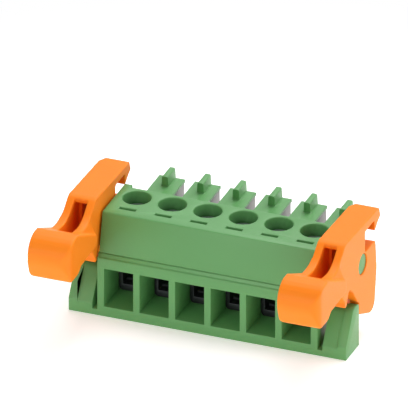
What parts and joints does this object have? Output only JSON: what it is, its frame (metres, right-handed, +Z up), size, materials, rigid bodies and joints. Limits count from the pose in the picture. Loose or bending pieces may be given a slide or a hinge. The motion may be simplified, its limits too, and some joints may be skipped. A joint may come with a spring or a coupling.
{
  "type": "pluggable terminal block",
  "caption": "Pluggable screw terminal block with rising-cage wire clamps, plug towers with coding ribs, and a pivoted lock-and-release lever at each end.",
  "frame": {"origin": "on the resting face, under the line of clamp screws, midway along the row of poles", "axes": "+X along the row of poles, +Y towards the plug side, away from the wire entries, +Z up from the resting face"},
  "size_m": [0.0416, 0.0327, 0.0176],
  "materials": {
    "green_plastic": "fine satin moulded polyamide, green",
    "orange_plastic": "fine satin moulded plastic, orange",
    "plated_steel": "zinc-plated steel",
    "tinned_copper": "tin-plated copper alloy"
  },
  "bodies": {
    "housing": {"housing": "green_plastic", "contact_1": "tinned_copper", "contact_2": "tinned_copper", "contact_3": "tinned_copper", "contact_4": "tinned_copper", "contact_5": "tinned_copper", "contact_6": "tinned_copper"},
    "lever_left": {"lever_left": "orange_plastic"},
    "lever_right": {"lever_right": "orange_plastic"},
    "clamp_screw_1": {"clamp_screw_1": "plated_steel"},
    "clamp_cage_1": {"clamp_cage_1": "plated_steel"},
    "clamp_screw_2": {"clamp_screw_2": "plated_steel"},
    "clamp_cage_2": {"clamp_cage_2": "plated_steel"},
    "clamp_screw_3": {"clamp_screw_3": "plated_steel"},
    "clamp_cage_3": {"clamp_cage_3": "plated_steel"},
    "clamp_screw_4": {"clamp_screw_4": "plated_steel"},
    "clamp_cage_4": {"clamp_cage_4": "plated_steel"},
    "clamp_screw_5": {"clamp_screw_5": "plated_steel"},
    "clamp_cage_5": {"clamp_cage_5": "plated_steel"},
    "clamp_screw_6": {"clamp_screw_6": "plated_steel"},
    "clamp_cage_6": {"clamp_cage_6": "plated_steel"}
  },
  "joints": [
    {"name": "lever_left_pivot", "type": "hinge", "parent": "housing", "child": "lever_left", "pos_m": [-0.01785, -0.0005, 0.0115], "axis": [1, 0, 0], "range_deg": [0, 24]},
    {"name": "lever_right_pivot", "type": "hinge", "parent": "housing", "child": "lever_right", "pos_m": [0.01785, -0.0005, 0.0115], "axis": [1, 0, 0], "range_deg": [0, 24]},
    {"name": "screw_1_turn", "type": "hinge", "parent": "housing", "child": "clamp_screw_1", "pos_m": [-0.0127, 0, 0.0128], "axis": [0, 0, -1], "range_deg": [0, 1980]},
    {"name": "cage_1_slide", "type": "slide", "parent": "housing", "child": "clamp_cage_1", "axis": [0, 0, 1], "range_m": [0, 0.00275]},
    {"name": "screw_2_turn", "type": "hinge", "parent": "housing", "child": "clamp_screw_2", "pos_m": [-0.00762, 0, 0.0128], "axis": [0, 0, -1], "range_deg": [0, 1980]},
    {"name": "cage_2_slide", "type": "slide", "parent": "housing", "child": "clamp_cage_2", "axis": [0, 0, 1], "range_m": [0, 0.00275]},
    {"name": "screw_3_turn", "type": "hinge", "parent": "housing", "child": "clamp_screw_3", "pos_m": [-0.00254, 0, 0.0128], "axis": [0, 0, -1], "range_deg": [0, 1980]},
    {"name": "cage_3_slide", "type": "slide", "parent": "housing", "child": "clamp_cage_3", "axis": [0, 0, 1], "range_m": [0, 0.00275]},
    {"name": "screw_4_turn", "type": "hinge", "parent": "housing", "child": "clamp_screw_4", "pos_m": [0.00254, 0, 0.0128], "axis": [0, 0, -1], "range_deg": [0, 1980]},
    {"name": "cage_4_slide", "type": "slide", "parent": "housing", "child": "clamp_cage_4", "axis": [0, 0, 1], "range_m": [0, 0.00275]},
    {"name": "screw_5_turn", "type": "hinge", "parent": "housing", "child": "clamp_screw_5", "pos_m": [0.00762, 0, 0.0128], "axis": [0, 0, -1], "range_deg": [0, 1980]},
    {"name": "cage_5_slide", "type": "slide", "parent": "housing", "child": "clamp_cage_5", "axis": [0, 0, 1], "range_m": [0, 0.00275]},
    {"name": "screw_6_turn", "type": "hinge", "parent": "housing", "child": "clamp_screw_6", "pos_m": [0.0127, 0, 0.0128], "axis": [0, 0, -1], "range_deg": [0, 1980]},
    {"name": "cage_6_slide", "type": "slide", "parent": "housing", "child": "clamp_cage_6", "axis": [0, 0, 1], "range_m": [0, 0.00275]}
  ],
  "couplings": [
    {"joint": "screw_1_turn", "follows": "cage_1_slide", "rad_per_m": 12566},
    {"joint": "screw_2_turn", "follows": "cage_2_slide", "rad_per_m": 12566},
    {"joint": "screw_3_turn", "follows": "cage_3_slide", "rad_per_m": 12566},
    {"joint": "screw_4_turn", "follows": "cage_4_slide", "rad_per_m": 12566},
    {"joint": "screw_5_turn", "follows": "cage_5_slide", "rad_per_m": 12566},
    {"joint": "screw_6_turn", "follows": "cage_6_slide", "rad_per_m": 12566}
  ]
}
